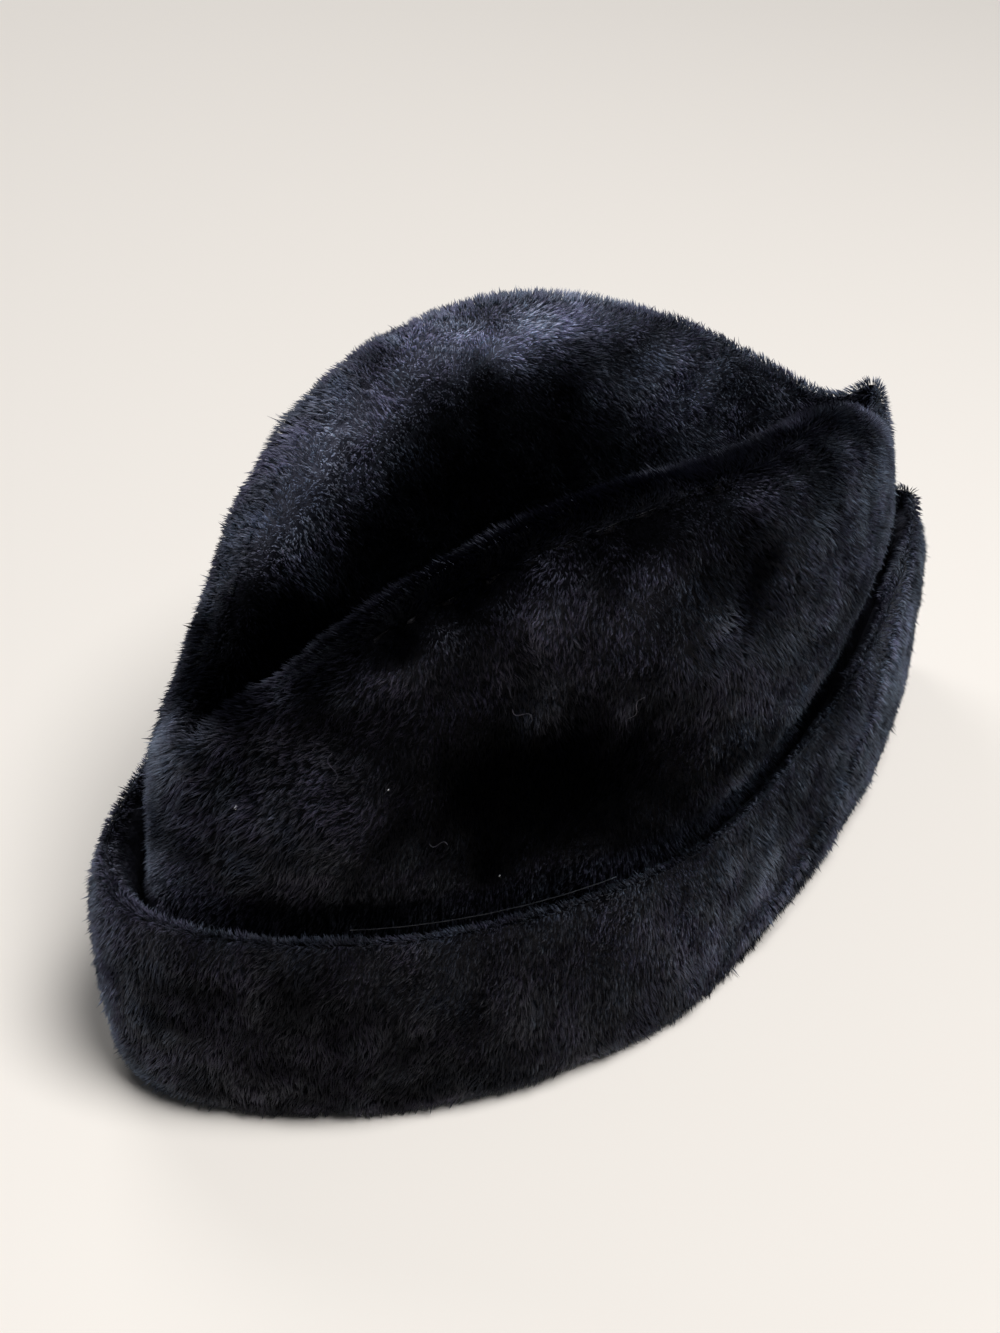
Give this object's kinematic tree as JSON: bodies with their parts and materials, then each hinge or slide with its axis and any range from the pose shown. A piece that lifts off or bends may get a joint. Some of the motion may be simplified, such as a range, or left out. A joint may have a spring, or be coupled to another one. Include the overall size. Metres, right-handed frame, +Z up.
{
  "type": "cossack hat",
  "caption": "Boat-shaped black fur hat with a pointed front, a top pressed in between two soft ridges, and a deep turned-up fur cuff.",
  "frame": {"origin": "on the surface the hat rests on, under the middle of the cuff", "axes": "+X towards the pointed front, +Y towards the wearer's left, +Z up"},
  "size_m": [0.2978, 0.1574, 0.155],
  "materials": {
    "fur": "dense short sheared fur, near black with a blue cast, matt with a soft sheen along the lie of the pile"
  },
  "bodies": {
    "root": {"crown_side": "fur", "crown_top": "fur", "cuff": "fur"}
  },
  "joints": []
}
